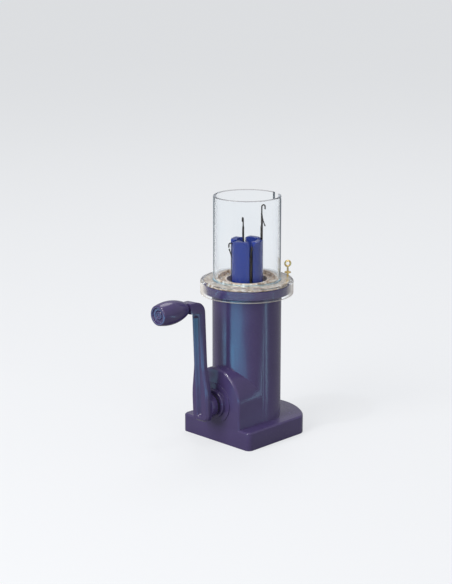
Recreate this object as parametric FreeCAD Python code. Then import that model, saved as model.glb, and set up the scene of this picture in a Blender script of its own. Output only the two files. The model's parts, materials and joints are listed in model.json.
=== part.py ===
import FreeCAD, Part
import math
import os
from FreeCAD import Placement, Rotation, Vector

# Hand-cranked knitting mill that makes a round cord on four latch needles.
# All sizes are in millimetres. The origin is on the column's axis in the plane
# of the base's underside, +Z is up and the crank shaft points along -Y.

# Base shell, flat at the front and round at the back; its sides stand just past the cover's skirt
base_side_margin = 0.1
base_front = 29.0
base_back_radius = 37.0
base_height = 12.0
base_corner_round = 3.5
base_shoulder_round = 8.0
base_edge_chamfer = 0.9
shell_wall = 2.0

# Column and its flange; the ledge that carries the drum stands ledge_rise above the crank shaft
column_radius = 22.2
bore_radius = 20.3
flange_radius = 27.6
flange_top = 100.2
flange_depth = 5.6
flange_chamfer = 0.5
ledge_rise = 22.0
ledge_depth = 3.4
ledge_bore_radius = 18.4

# Gear housing with its arched top, and the bearing boss on its front
shaft_height = 26.0
arch_half_width = 21.0
arch_rise_height = 28.0
arch_edge_chamfer = 1.0
boss_chamfer = 0.5
boss_radius = 9.4
boss_length = 3.0
boss_pad_radius = 13.0
boss_pad_length = 0.7

# Bottom cover with the outlet for the finished cord
cover_thickness = 2.4
cover_clearance = 0.15
outlet_radius = 8.0
post_radius = 3.2
post_inset = 6.5
post_back_inset = 7.5

# Screws
screw_radius = 1.25
screw_head_radius = 2.4
screw_head_depth = 1.2
screw_length = 8.0
screw_clearance = 0.05
screw_tip_gap = 0.5

# Needle bed: foot, stem, grooved body and four pillars
bed_bore_radius = 6.5
bed_foot_radius = 13.0
bed_foot_thickness = 3.0
bed_stem_radius = 9.4
bed_body_radius = 12.6
bed_turning_clearance = 0.45
bed_body_rise = 2.0
bed_body_top = 98.5
pillar_radius = 10.4
pillar_top = 128.0
pillar_corner_round = 3.6
slot_width = 2.4
bed_screw_circle = 10.7
bed_screw_count = 2
bed_screw_inset = 0.2

# Latch needles
needle_count = 4
needle_angle = -31.4
needle_thickness = 1.2
needle_inner = 9.0
needle_outer = 10.4
needle_foot_inset = 0.2
needle_butt_clearance = 0.3
needle_clearance = 0.1
needle_height = 58.0
needle_foot_above = 5.0
needle_foot_taper = 2.0
needle_foot_below = 8.0
butt_height = 2.4
butt_low = 68.0
needle_neck_above = 3.0
needle_cheek_above = 0.8
needle_back_below = 4.0
needle_back_length = 1.5
hook_wire_offset = 0.75
hook_wire_radius = 0.45
hook_bend_radius = 1.1
hook_tip_length = 1.6
latch_pivot_drop = 9.2
latch_pivot_offset = 1.05
latch_slot_half_length = 3.4
latch_slot_floor = 0.4
latch_thickness = 0.4
latch_slot_width = 0.5
latch_length = 5.6
latch_half_height = 0.38
latch_eye_radius = 0.62
latch_spoon_radius = 0.45
latch_spoon_length = 1.4
latch_spoon_taper = 0.5
latch_pin_radius = 0.25
latch_pin_clearance = 0.05
latch_closed_angle = 19.5
latch_open_angle = 158.0

# Cam: how far the needles rise, and over which part of a turn
cam_lift = 24.0
cam_peak_angle = 58.6
cam_rise_turn = 75.0
cam_fall_turn = 200.0
cam_depth = 2.3
cam_half_gap = 1.6

# Rotor: drum with top flange, and the clear cover that rides on it
rotor_clearance = 0.1
drum_seat_gap = 0.1
disc_inset = 0.2
disc_thickness = 0.9
disc_gap = 0.3
spigot_clearance = 0.1
spigot_wall = 1.3
spigot_height = 2.6
inner_rim_wall = 1.2
inner_rim_height = 1.2
tube_radius = 21.65
tube_wall = 1.6
tube_top = 157.0
skirt_gap = 0.6
skirt_wall = 1.7
skirt_bottom = 93.5
shoulder_thickness = 1.2
shoulder_round = 1.1
notch_angle = 68.6
notch_width = 7.2
notch_depth = 5.0
notch_round = 1.0

# Wire guide for the yarn on the clear cover
guide_angle = 61.0
guide_radius = 27.6
guide_wire_radius = 0.5
guide_stem_radius = 0.65
guide_loop_radius = 1.9
guide_loop_height = 8.2
guide_collar_radius = 2.1
guide_collar_height = 2.0
guide_collar_thickness = 0.9
guide_pin_radius = 0.8

# Pair of mitre bevel gears, crank shaft to drum
gear_teeth = 18
gear_module = 1.8
gear_face_width = 5.0
gear_pressure_angle = 20.0
gear_backlash = 0.16
gear_root_factor = 1.25
gear_rim_thickness = 1.7
gear_hub_gap = 0.7
gear_rib_thickness = 1.6
gear_rib_height = 1.2
gear_rib_inset = 4.0
gear_flange_clearance = 0.4
ring_gear_clearance = 0.6
gear_spigot_height = 1.5
gear_screw_length = 6.0
gear_screw_head_radius = 4.2
gear_screw_head_length = 1.7
drive_hub_radius = 6.0

# Crank shaft, bush and washer
shaft_radius = 3.0
shaft_flat = 2.3
shaft_clearance = 0.06
bush_radius = 5.0
bush_flange_radius = 7.0
bush_flange_length = 1.2
bush_inner_overhang = 0.4
washer_radius = 6.4
washer_thickness = 0.6
end_play = 0.1

# Crank arm, leaning a little to the left when at rest
crank_length = 66.0
crank_lean = 2.6
crank_hub_radius = 8.3
crank_hub_chamfer = 0.8
crank_back = 39.3
crank_thickness = 4.0
crank_top_half_width = 4.4
crank_foot_half_width = 7.0
crank_foot_length = 9.2
crank_foot_round = 4.2
crank_flare_low = 10.0
crank_flare_high = 27.0
crank_flare_round = 50.0
crank_stub_end = 51.6
crank_stub_half_height = 3.3
crank_bend_round = 7.5
crank_inner_round = 1.6
crank_channel_width = 3.4
crank_channel_depth = 1.9
crank_channel_end = 3.5
crank_channel_slope = 1.0
crank_rib_chamfer = 0.8
crank_edge_chamfer = 1.2
crank_socket_floor = 0.8
crank_socket_lead = 0.5
crank_pin_floor = 1.0

# Knob and the pin that it spins on
knob_length = 24.0
knob_small_radius = 3.8
knob_large_radius = 7.7
knob_belly = 0.62
knob_flats = 4
knob_end_round = 0.9
knob_gap = 0.3
knob_pin_radius = 2.0
knob_pin_head_radius = 2.7
knob_pin_head_length = 1.4
knob_pin_head_round = 0.7
knob_pin_head_proud = 0.3
knob_recess_radius = 4.5
knob_recess_depth = 1.1

# Sizes that follow from the ones above
skirt_inner = flange_radius + skirt_gap
skirt_radius = skirt_inner + skirt_wall
base_half_width = skirt_radius + base_side_margin
post_side = base_half_width - post_inset
post_front = base_front - post_inset
post_back = base_back_radius - post_back_inset
ledge_top = shaft_height + ledge_rise
bed_body_bottom = ledge_top + bed_body_rise
drum_radius = bore_radius - rotor_clearance
drum_bore_radius = bed_body_radius + bed_turning_clearance
disc_radius = flange_radius - disc_inset
tube_inner = tube_radius - tube_wall
spigot_radius = tube_inner - spigot_clearance
needle_foot_outer = bed_body_radius - needle_foot_inset
needle_butt_outer = drum_bore_radius - needle_butt_clearance
latch_pivot_radius = needle_inner + latch_pivot_offset
gear_flange_radius = ledge_bore_radius - gear_flange_clearance
ring_gear_bore = bed_stem_radius + ring_gear_clearance
gear_pitch_radius = gear_module * gear_teeth / 2
gear_root_depth = gear_root_factor * gear_module
cover_top = cover_thickness
drum_bottom = ledge_top + drum_seat_gap
disc_bottom = flange_top + disc_gap
disc_top = disc_bottom + disc_thickness
shoulder_top = disc_top + shoulder_thickness
wall_front = base_front - shell_wall
boss_end = base_front + boss_length
bush_end = boss_end + bush_flange_length
hub_back = bush_end + washer_thickness + 2 * end_play
crank_front = crank_back + crank_thickness
shaft_end = crank_front - crank_channel_depth - crank_socket_floor
hub_entry = hub_back + crank_socket_lead
pin_start = crank_front + crank_pin_floor
knob_start = crank_stub_end + knob_gap
up = Vector(0, 0, 1)
centre = Vector(0, 0, 0)


def outline(corners, flat_rounds=False):
    """Closed wire in the XZ plane; each corner is (x, z) or (x, z, rounding radius).

    A rounding is an arc, or two flats where flat_rounds is set.
    """
    count = len(corners)
    edges = []
    starts = []
    ends = []
    for i in range(count):
        here = Vector(corners[i][0], 0, corners[i][1])
        before = Vector(corners[i - 1][0], 0, corners[i - 1][1])
        after = Vector(corners[(i + 1) % count][0], 0, corners[(i + 1) % count][1])
        radius = corners[i][2] if len(corners[i]) > 2 else 0
        first = last = here
        if radius:
            to_before = (before - here).normalize()
            to_after = (after - here).normalize()
            half = to_before.getAngle(to_after) / 2
            first = here + to_before * (radius / math.tan(half))
            last = here + to_after * (radius / math.tan(half))
            middle = here + (to_before + to_after).normalize() * (radius / math.sin(half) - radius)
            if flat_rounds:
                edges.append(Part.LineSegment(first, middle).toShape())
                edges.append(Part.LineSegment(middle, last).toShape())
            else:
                edges.append(Part.Arc(first, middle, last).toShape())
        starts.append(first)
        ends.append(last)
    for i in range(count):
        leave = ends[i]
        arrive = starts[(i + 1) % count]
        if leave.distanceToPoint(arrive) > 1e-6:
            edges.append(Part.LineSegment(leave, arrive).toShape())
    return Part.Wire(Part.__sortEdges__(edges))


def turned(corners):
    """Solid of revolution about Z from (radius, z, rounding) corners."""
    return Part.Face(outline(corners, flat_rounds=True)).revolve(centre, up, 360)


def plate(corners, low, high):
    """Plate with an outline in X and Y, from height low to height high."""
    face = Part.Face(outline(corners))
    face.rotate(centre, Vector(1, 0, 0), -90)
    face.translate(Vector(0, 0, low))
    return face.extrude(Vector(0, 0, high - low))


def cylinder(radius, low, high, at=centre):
    return Part.makeCylinder(radius, high - low, Vector(at.x, at.y, low), up)


def block(x_low, x_high, y_low, y_high, z_low, z_high):
    return Part.makeBox(x_high - x_low, y_high - y_low, z_high - z_low, Vector(x_low, y_low, z_low))


def turned_to(shape, angle):
    copy = shape.copy()
    copy.rotate(centre, up, angle)
    return copy


def on_shaft(shape):
    """From a frame with z along the crank shaft, outwards, to the object's own frame."""
    copy = shape.copy()
    frame = Placement(Vector(0, 0, shaft_height), Rotation(Vector(1, 0, 0), 90))
    copy.Placement = frame.multiply(copy.Placement)
    return copy


def around(radius, count, first_angle=0.0):
    angles = [math.radians(first_angle + 360.0 * i / count) for i in range(count)]
    return [Vector(radius * math.cos(a), radius * math.sin(a), 0) for a in angles]


def save(node, shape):
    shape.exportStep("parts/" + node + ".step")


def upright_edges(prism):
    height = prism.BoundBox.ZLength
    return [e for e in prism.Edges if abs(e.BoundBox.ZLength - height) < 1e-6]


def base_prism(inset, low, high):
    """The base's D-shaped plan, drawn in by inset."""
    half = base_half_width - inset
    front = base_front - inset
    back = base_back_radius - inset
    meet = math.sqrt(back * back - half * half)
    front_left = Vector(-half, -front, low)
    front_right = Vector(half, -front, low)
    back_right = Vector(half, meet, low)
    back_left = Vector(-half, meet, low)
    edges = [Part.LineSegment(back_left, front_left).toShape()]
    edges.append(Part.LineSegment(front_left, front_right).toShape())
    edges.append(Part.LineSegment(front_right, back_right).toShape())
    edges.append(Part.Arc(back_right, Vector(0, back, low), back_left).toShape())
    prism = Part.Face(Part.Wire(edges)).extrude(Vector(0, 0, high - low))
    at_back = [e for e in upright_edges(prism) if e.CenterOfMass.y > 0]
    prism = prism.makeFillet(base_shoulder_round - inset, at_back)
    at_front = [e for e in upright_edges(prism) if e.CenterOfMass.y < 1 - front]
    return prism.makeFillet(max(base_corner_round - inset, shell_wall / 2), at_front)


def arch_prism(half_width, rise_height, low, near, far):
    """Block with an arched top, seen from the front, between two distances from the axis."""
    left = Vector(-half_width, -near, low)
    right = Vector(half_width, -near, low)
    left_rise = Vector(-half_width, -near, rise_height)
    right_rise = Vector(half_width, -near, rise_height)
    crown = Vector(0, -near, rise_height + half_width)
    edges = [Part.LineSegment(left, right).toShape(), Part.LineSegment(right, right_rise).toShape()]
    edges.append(Part.Arc(right_rise, crown, left_rise).toShape())
    edges.append(Part.LineSegment(left_rise, left).toShape())
    return Part.Face(Part.Wire(edges)).extrude(Vector(0, near - far, 0))


def screw_posts():
    """Places of the three screws: two at the front corners and one at the back."""
    right = Vector(post_side, -post_front, 0)
    left = Vector(-post_side, -post_front, 0)
    return [right, left, Vector(0, post_back, 0)]


def housing():
    """One moulding: base shell, arched gear housing, column and flange."""
    base = base_prism(0, 0, base_height)
    rim = [e for e in base.Edges if e.BoundBox.ZMin > base_height - 1e-6]
    base = base.makeChamfer(base_edge_chamfer, rim)
    column = cylinder(column_radius, 0, flange_top)
    arch = arch_prism(arch_half_width, arch_rise_height, 0, 0, base_front)
    face_edges = [e for e in arch.Edges if e.BoundBox.YMax < 1e-6 - base_front and e.CenterOfMass.z > 1]
    arch = arch.makeChamfer(arch_edge_chamfer, face_edges)
    flange_low = flange_top - flange_depth
    flange = cylinder(flange_radius, flange_low, flange_top)
    flat_edges = [e for e in flange.Edges if e.BoundBox.ZLength < 1e-6]
    flange = flange.makeChamfer(flange_chamfer, flat_edges)
    pad = on_shaft(cylinder(boss_pad_radius, base_front - 1, base_front + boss_pad_length))
    boss = on_shaft(cylinder(boss_radius, base_front - 1, boss_end))
    boss = boss.makeChamfer(boss_chamfer, [e for e in boss.Edges if e.BoundBox.YMax < 1e-6 - boss_end])
    body = base.fuse([column, arch, flange, pad, boss]).removeSplitter()

    pocket_radius = gear_pitch_radius + gear_module + 0.1
    hollow = base_prism(shell_wall, -1, base_height - shell_wall)
    pocket = arch_prism(pocket_radius, shaft_height, -1, 0, wall_front)
    below = cylinder(bore_radius, -1, ledge_top - ledge_depth)
    through = cylinder(ledge_bore_radius, ledge_top - ledge_depth - 1, ledge_top + 1)
    above = cylinder(bore_radius, ledge_top, flange_top + 1)
    bearing = on_shaft(cylinder(bush_radius + screw_clearance / 2, wall_front - 1, boss_end + 1))
    body = body.cut([hollow, pocket, below, through, above, bearing])

    posts = [cylinder(post_radius, cover_top, base_height - shell_wall / 2, at) for at in screw_posts()]
    hole_end = screw_length + screw_tip_gap
    holes = [cylinder(screw_radius + screw_clearance, 0, hole_end, at) for at in screw_posts()]
    return body.fuse(posts).cut(holes).removeSplitter()


def screw(length):
    """Screw with a flat cylinder head, head down at z = 0."""
    return cylinder(screw_head_radius, 0, screw_head_depth).fuse(cylinder(screw_radius, 0, length))


def screw_seat(length):
    """The space that a screw takes up in the piece under its head."""
    gap = screw_clearance
    head = cylinder(screw_head_radius + gap, -1, screw_head_depth)
    return head.fuse(cylinder(screw_radius + gap, -1, length))


def bottom_cover():
    plate_shape = base_prism(shell_wall + cover_clearance, 0, cover_thickness)
    cuts = [cylinder(outlet_radius, -1, cover_thickness + 1)]
    for at in screw_posts() + around(bed_screw_circle, bed_screw_count):
        seat = screw_seat(cover_thickness + 1)
        seat.translate(at)
        cuts.append(seat)
    return plate_shape.cut(cuts)


def placed_screws(places, length):
    solids = []
    for at in places:
        one = screw(length)
        one.translate(at)
        solids.append(one)
    return Part.makeCompound(solids)


def needle_angles():
    return [needle_angle + 360.0 * i / needle_count for i in range(needle_count)]


def pillar():
    """One pillar between two needle slots, centred on the X axis."""
    edge = slot_width / 2 / math.sin(math.pi / needle_count)
    far = 2 * pillar_radius
    spread = (far - edge) * math.tan(math.pi / needle_count)
    wedge = plate([(edge, 0), (far, -spread), (far, spread)], bed_body_top - 1, pillar_top)
    low = bed_body_top - 1
    bore = cylinder(bed_bore_radius, low - 1, pillar_top + 1)
    ring = cylinder(pillar_radius, low, pillar_top).cut(bore)
    share = math.pi / needle_count
    half = pillar_radius * math.sin(share) - slot_width / 2 * math.cos(share)
    front = Part.Face(outline([(-half, low), (half, low), (half, pillar_top, pillar_corner_round),
                               (-half, pillar_top, pillar_corner_round)]))
    front.rotate(centre, up, 90)
    crown = front.extrude(Vector(far, 0, 0))
    return ring.common(wedge).common(crown)


def needle_bed():
    foot_top = cover_top + bed_foot_thickness
    body = turned([(bed_bore_radius, cover_top), (bed_foot_radius, cover_top),
                   (bed_foot_radius, foot_top), (bed_stem_radius, foot_top),
                   (bed_stem_radius, bed_body_bottom), (bed_body_radius, bed_body_bottom),
                   (bed_body_radius, bed_body_top), (bed_bore_radius, bed_body_top)])
    parts = [turned_to(pillar(), angle + 180.0 / needle_count) for angle in needle_angles()]
    body = body.fuse(parts).removeSplitter()
    half = needle_thickness / 2 + needle_clearance
    groove_low = butt_low - needle_foot_below - 2
    floor = needle_inner - needle_clearance
    groove = block(floor, bed_body_radius + 1, -half, half, groove_low, bed_body_top + 1)
    cuts = [turned_to(groove, angle) for angle in needle_angles()]
    for at in around(bed_screw_circle, bed_screw_count):
        cuts.append(cylinder(screw_radius + screw_clearance, 0, foot_top + 1, at))
    return body.cut(cuts)


def cam_rise(angle):
    """How far the cam lifts a needle that stands at this angle."""
    turn = (angle - cam_peak_angle + cam_rise_turn) % 360 - cam_rise_turn
    if turn < 0:
        return cam_lift * (1 + math.cos(math.pi * turn / cam_rise_turn)) / 2
    if turn < cam_fall_turn:
        return cam_lift * (1 + math.cos(math.pi * turn / cam_fall_turn)) / 2
    return 0.0


def cam_groove():
    """Ring-shaped solid of the cam track, cut into the drum's bore."""
    steps = 60
    inner = drum_bore_radius - 0.6
    outer = drum_bore_radius + cam_depth
    rails = {}
    for radius in (inner, outer):
        for side in (-1, 1):
            points = []
            for i in range(steps):
                angle = 360.0 * i / steps
                climb = (cam_rise(angle + 1) - cam_rise(angle - 1)) / math.radians(2)
                slope = climb / drum_bore_radius
                half = cam_half_gap + abs(slope) * needle_thickness / 2
                height = butt_low + cam_rise(angle) + side * half
                a = math.radians(angle)
                points.append(Vector(radius * math.cos(a), radius * math.sin(a), height))
            curve = Part.BSplineCurve()
            curve.interpolate(Points=points, PeriodicFlag=True)
            rails[radius, side] = curve.toShape()
    faces = [Part.makeRuledSurface(rails[inner, 1], rails[outer, 1])]
    faces.append(Part.makeRuledSurface(rails[inner, -1], rails[outer, -1]))
    faces.append(Part.makeRuledSurface(rails[inner, -1], rails[inner, 1]))
    faces.append(Part.makeRuledSurface(rails[outer, -1], rails[outer, 1]))
    shell = Part.makeShell(faces)
    shell.sewShape()
    track = Part.makeSolid(shell)
    if track.Volume < 0:
        track.reverse()
    return track


def cam_drum():
    """Drum with the cam track in its bore and a flange that covers the column's mouth."""
    spigot_top = disc_top + spigot_height
    rim_top = disc_top + inner_rim_height
    spigot_inner = spigot_radius - spigot_wall
    rim_outer = drum_bore_radius + inner_rim_wall
    body = turned([(drum_bore_radius, drum_bottom), (drum_radius, drum_bottom),
                   (drum_radius, disc_bottom), (disc_radius, disc_bottom),
                   (disc_radius, disc_top), (spigot_radius, disc_top),
                   (spigot_radius, spigot_top), (spigot_inner, spigot_top),
                   (spigot_inner, disc_top), (rim_outer, disc_top),
                   (rim_outer, rim_top), (drum_bore_radius, rim_top)])
    return body.cut(cam_groove())


def clear_cover():
    """Clear cup: skirt round the flange, flat shoulder, tall tube with a notch in its rim."""
    body = turned([(tube_inner, disc_top), (skirt_inner, disc_top), (skirt_inner, skirt_bottom),
                   (skirt_radius, skirt_bottom), (skirt_radius, shoulder_top, shoulder_round),
                   (tube_radius, shoulder_top), (tube_radius, tube_top), (tube_inner, tube_top)])
    notch = block(tube_inner - 2, tube_radius + 2, -notch_width / 2, notch_width / 2,
                  tube_top - notch_depth, tube_top + 1)
    low_edges = [e for e in notch.Edges if e.BoundBox.XLength > 1 and e.BoundBox.ZMax < tube_top]
    notch = notch.makeFillet(notch_round, low_edges)
    at_guide = Vector(guide_radius, 0, 0)
    pin_hole = cylinder(guide_pin_radius + screw_clearance, disc_top - 1, shoulder_top + 1, at_guide)
    return body.cut([turned_to(notch, notch_angle), turned_to(pin_hole, guide_angle)])


def yarn_guide():
    """Brass wire with an eye, on a turned foot that is pressed into the cover's shoulder."""
    base = Vector(guide_radius, 0, 0)
    loop_centre = Vector(guide_radius, 0, shoulder_top + guide_loop_height)
    stem_top = loop_centre.z - guide_loop_radius
    pin = cylinder(guide_pin_radius, disc_top + 0.1, shoulder_top + 0.1, base)
    collar_low = shoulder_top + guide_collar_height
    collar = cylinder(guide_collar_radius, collar_low, collar_low + guide_collar_thickness, base)
    stem = cylinder(guide_stem_radius, shoulder_top, stem_top, base)
    outwards = Vector(1, 0, 0)
    wire = 2 * guide_wire_radius
    eye_start = loop_centre - outwards * (wire / 2)
    eye = Part.makeCylinder(guide_loop_radius + guide_wire_radius, wire, eye_start, outwards)
    guide = pin.fuse([collar, stem, eye])
    hole_start = loop_centre - outwards * wire
    hole = Part.makeCylinder(guide_loop_radius - guide_wire_radius, 2 * wire, hole_start, outwards)
    return turned_to(guide.cut(hole), guide_angle)


def involute(angle):
    return math.tan(angle) - angle


def tooth_half_angle(offset):
    """Half the angle that a tooth takes up about the gear's axis, offset mm outside the pitch cone."""
    pressure = math.radians(gear_pressure_angle)
    virtual = gear_pitch_radius * math.sqrt(2)
    base = virtual * math.cos(pressure)
    radius = max(virtual + offset, base)
    at_pitch = (gear_module * math.pi / 2 - gear_backlash) / 2 / virtual
    spread = at_pitch + involute(pressure) - involute(math.acos(base / radius))
    return spread * math.sqrt(2)


def tooth_section(first_tooth, plane):
    """Corners of the toothed section at one height above the cone's tip."""
    slant = math.sqrt(0.5)
    flank = [-gear_root_depth, -0.4 * gear_module, 0.3 * gear_module, gear_module]
    points = []
    for i in range(gear_teeth):
        middle = math.radians(first_tooth + 360.0 * i / gear_teeth)
        walk = [(-1, t) for t in flank] + [(1, t) for t in reversed(flank)]
        for side, offset in walk:
            angle = middle + side * tooth_half_angle(offset)
            away = offset * slant
            radius = plane * (gear_pitch_radius + away) / (gear_pitch_radius - away)
            points.append(Vector(radius * math.cos(angle), radius * math.sin(angle), plane))
    return points


def toothed_cone(first_tooth, low, high):
    """Flat-faced solid whose teeth all run to the cone's tip at the origin."""
    small = tooth_section(first_tooth, low)
    large = tooth_section(first_tooth, high)
    faces = [Part.Face(Part.makePolygon(ring + ring[:1])) for ring in (small, large)]
    for i in range(len(small)):
        corners = [small[i - 1], small[i], large[i], large[i - 1], small[i - 1]]
        faces.append(Part.Face(Part.makePolygon(corners)))
    solid = Part.makeSolid(Part.makeShell(faces))
    if solid.Volume < 0:
        solid.reverse()
    return solid


def bevel_gear(first_tooth, bore):
    """Mitre gear on the Z axis with its pitch cone's tip at the origin, up to the back of its rim."""
    slant = math.sqrt(0.5)
    shrink = 1 - gear_face_width / (gear_pitch_radius * math.sqrt(2))
    tip_margin = 0.3
    past_tip = (gear_module + tip_margin) * slant
    root = gear_root_depth * slant
    tip_r, tip_z = gear_pitch_radius + past_tip, gear_pitch_radius - past_tip
    root_r, root_z = gear_pitch_radius - root, gear_pitch_radius + root
    back = rim_back()
    teeth = toothed_cone(first_tooth, shrink * tip_z - 1, back)
    blank = turned([(bore, shrink * root_z), (shrink * root_r, shrink * root_z),
                    (shrink * tip_r, shrink * tip_z), (tip_r, tip_z),
                    (root_r, root_z), (root_r, back), (bore, back)])
    return teeth.common(blank)


def rim_back():
    return gear_pitch_radius + gear_root_depth * math.sqrt(0.5) + gear_rim_thickness


def gear_front():
    """Height of a gear's flat front above the cone's tip."""
    shrink = 1 - gear_face_width / (gear_pitch_radius * math.sqrt(2))
    return shrink * (gear_pitch_radius + gear_root_depth * math.sqrt(0.5))


def ring_gear():
    """Crown gear under the drum; its spigot is pressed into the drum's bore."""
    gear = bevel_gear(-90 + 180.0 / gear_teeth, ring_gear_bore)
    top = drum_bottom - shaft_height
    spigot = drum_bore_radius - screw_clearance
    low = rim_back() - disc_gap
    spigot_end = top + gear_spigot_height
    flange = turned([(ring_gear_bore, low), (gear_flange_radius, low), (gear_flange_radius, top),
                     (spigot, top), (spigot, spigot_end), (ring_gear_bore, spigot_end)])
    gear = gear.fuse(flange).removeSplitter()
    gear.translate(Vector(0, 0, shaft_height))
    return gear


def d_profile(radius, flat, low, high):
    bar = cylinder(radius, low, high)
    return bar.common(block(-2 * radius, 2 * radius, -2 * radius, flat, low, high))


def crank_shaft():
    low = gear_front()
    round_part = cylinder(shaft_radius, wall_front - gear_hub_gap, hub_entry)
    shape = d_profile(shaft_radius, shaft_flat, low, shaft_end).fuse(round_part).removeSplitter()
    hole = cylinder(screw_radius + screw_clearance, low - 1, low + gear_screw_length)
    return on_shaft(shape.cut(hole))


def drive_gear():
    gap = screw_clearance / 2
    gear = bevel_gear(90, shaft_radius)
    hub_end = wall_front - gear_hub_gap
    back = rim_back()
    hub = cylinder(drive_hub_radius, back - 1, hub_end).cut(cylinder(shaft_radius, 0, hub_end + 1))
    ribs = []
    reach = gear_pitch_radius - gear_rib_inset
    side = gear_rib_thickness / 2
    for angle in (0, 60, 120):
        rib = block(-reach, reach, -side, side, back - 1, back + gear_rib_height)
        ribs.append(turned_to(rib, angle))
    core = d_profile(shaft_radius + gap, shaft_flat + gap, 0, hub_end + 1)
    filler = cylinder(shaft_radius + 1, gear_front(), hub_end)
    return on_shaft(gear.fuse([hub, filler] + ribs).cut(core).removeSplitter())


def gear_screw():
    """Pan-head screw that holds the drive gear on the shaft's inner end."""
    front = gear_front()
    head = cylinder(gear_screw_head_radius, front - gear_screw_head_length, front)
    thread = cylinder(screw_radius, front - 1, front + gear_screw_length - screw_tip_gap)
    return on_shaft(head.fuse(thread))


def shaft_bush():
    inner = shaft_radius + shaft_clearance
    low = wall_front - bush_inner_overhang
    return on_shaft(turned([(inner, low), (bush_radius, low), (bush_radius, boss_end),
                            (bush_flange_radius, boss_end), (bush_flange_radius, bush_end),
                            (inner, bush_end)]))


def thrust_washer():
    low = bush_end + end_play
    inner = shaft_radius + 2 * shaft_clearance
    return on_shaft(turned([(inner, low), (washer_radius, low), (washer_radius, low + washer_thickness),
                            (inner, low + washer_thickness)]))


def leaned(shape):
    copy = shape.copy()
    copy.rotate(Vector(0, 0, shaft_height), Vector(0, 1, 0), -crank_lean)
    return copy


def crank_bar(low, high):
    """The arm seen from the front, as a prism along the shaft: a bar that widens to a rounded foot."""
    top = crank_length + crank_stub_half_height
    right = [(crank_foot_half_width, -crank_foot_length, crank_foot_round),
             (crank_foot_half_width, crank_flare_low, crank_flare_round),
             (crank_top_half_width, crank_flare_high, crank_flare_round),
             (crank_top_half_width, top, 0)]
    left = [(-x, z, rounding) for x, z, rounding in reversed(right)]
    return plate(right + left, low, high)


def crank_side(low, under, top):
    """The arm and its stub seen from the side, as a prism across the arm."""
    face = Part.Face(outline([(low, crank_back), (top, crank_back, crank_bend_round),
                              (top, crank_stub_end), (under, crank_stub_end),
                              (under, crank_front, crank_inner_round), (low, crank_front)]))
    face.rotate(centre, up, 90)
    face.translate(Vector(-2 * crank_hub_radius, 0, 0))
    return face.extrude(Vector(4 * crank_hub_radius, 0, 0))


def crank_channel(low, high):
    """Long groove with rounded ends and sloping sides, cut into the arm's front."""
    half = crank_channel_width / 2
    floor = crank_front - crank_channel_depth
    channel = block(-half, half, low, high, floor, crank_front + 1)
    channel = channel.makeFillet(half * 0.95, upright_edges(channel))
    floor_edges = [e for e in channel.Edges if e.BoundBox.ZMax < floor + 1e-6]
    return channel.makeChamfer(crank_channel_slope, floor_edges)


def edges_round_channel(arm, channel):
    """The edges where the channel meets the arm's front."""
    mouth = channel.BoundBox
    mouth.enlarge(1e-6)
    level = [e for e in arm.Edges if e.BoundBox.ZLength < 1e-6 and e.BoundBox.ZMin > crank_front - 1e-6]
    return [e for e in level if mouth.isInside(e.BoundBox)]


def crank_arm():
    """Arm with two ribs along a channel, a round hub, and a stub at its top that carries the knob."""
    top = crank_length + crank_stub_half_height
    under = crank_length - crank_stub_half_height
    half = crank_top_half_width
    bar = crank_bar(crank_back, crank_front)
    front_edges = [e for e in bar.Edges if e.BoundBox.ZMin > crank_front - 1e-6]
    bar = bar.makeChamfer(crank_edge_chamfer, front_edges)
    stub = block(-half, half, under - crank_inner_round, top, crank_back, crank_stub_end)
    arm = bar.fuse(stub).common(crank_side(-crank_foot_length - 1, under, top))
    channel = crank_channel(crank_channel_end - crank_foot_length, under - crank_channel_end)
    arm = arm.cut(channel).removeSplitter()
    arm = arm.makeChamfer(crank_rib_chamfer, edges_round_channel(arm, channel))
    hub = cylinder(crank_hub_radius, hub_back, crank_back)
    hub = hub.makeChamfer(crank_hub_chamfer, [e for e in hub.Edges if e.BoundBox.ZMax < hub_back + 1e-6])
    gap = screw_clearance / 2
    socket = d_profile(shaft_radius + gap, shaft_flat + gap, hub_entry + gap, shaft_end + gap)
    entry = cylinder(shaft_radius + gap, hub_back - 1, hub_entry + gap)
    at_pin = Vector(0, crank_length, 0)
    pin_hole = cylinder(knob_pin_radius + gap, pin_start - gap, crank_stub_end + 1, at_pin)
    arm = leaned(on_shaft(arm.fuse(hub).cut(pin_hole)))
    return arm.cut([on_shaft(socket), on_shaft(entry)]).removeSplitter()


def at_knob(shape):
    """From a frame on the knob's own axis to the object's frame."""
    copy = shape.copy()
    copy.translate(Vector(0, crank_length, 0))
    return leaned(on_shaft(copy))


def barrel_radius(z):
    """Radius of the grip at distance z from its inner end: one bow whose widest place is the belly."""
    belly = knob_belly * knob_length
    swell = knob_large_radius - knob_small_radius
    bow = (belly ** 2 + swell ** 2) / (2 * swell)
    return knob_large_radius - bow + math.sqrt(bow ** 2 - (z - belly) ** 2)


def knob():
    """Barrel-shaped grip, turned about the Z axis, with a stepped recess in its outer end."""
    low = knob_start
    high = low + knob_length
    bore = knob_pin_radius + shaft_clearance
    step = high - knob_recess_depth
    seat = step - knob_pin_head_length - 2 * end_play
    head_hole = knob_pin_head_radius + knob_gap
    profile = [(bore, low)]
    for i in range(knob_flats):
        z = knob_length * i / knob_flats
        profile.append((barrel_radius(z), low + z))
    profile.append((barrel_radius(knob_length), high, knob_end_round))
    profile += [(knob_recess_radius, high), (knob_recess_radius, step), (head_hole, step),
                (head_hole, seat), (bore, seat)]
    return at_knob(turned(profile))


def knob_pin():
    """Pin from the arm's stub through the knob, with a domed head in the knob's recess."""
    step = knob_start + knob_length - knob_recess_depth
    seat = step - knob_pin_head_length - end_play
    top = step + knob_pin_head_proud
    head = knob_pin_head_radius
    return at_knob(turned([(0, pin_start), (knob_pin_radius, pin_start), (knob_pin_radius, seat),
                           (head, seat), (head, top, knob_pin_head_round), (0, top)]))


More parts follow.
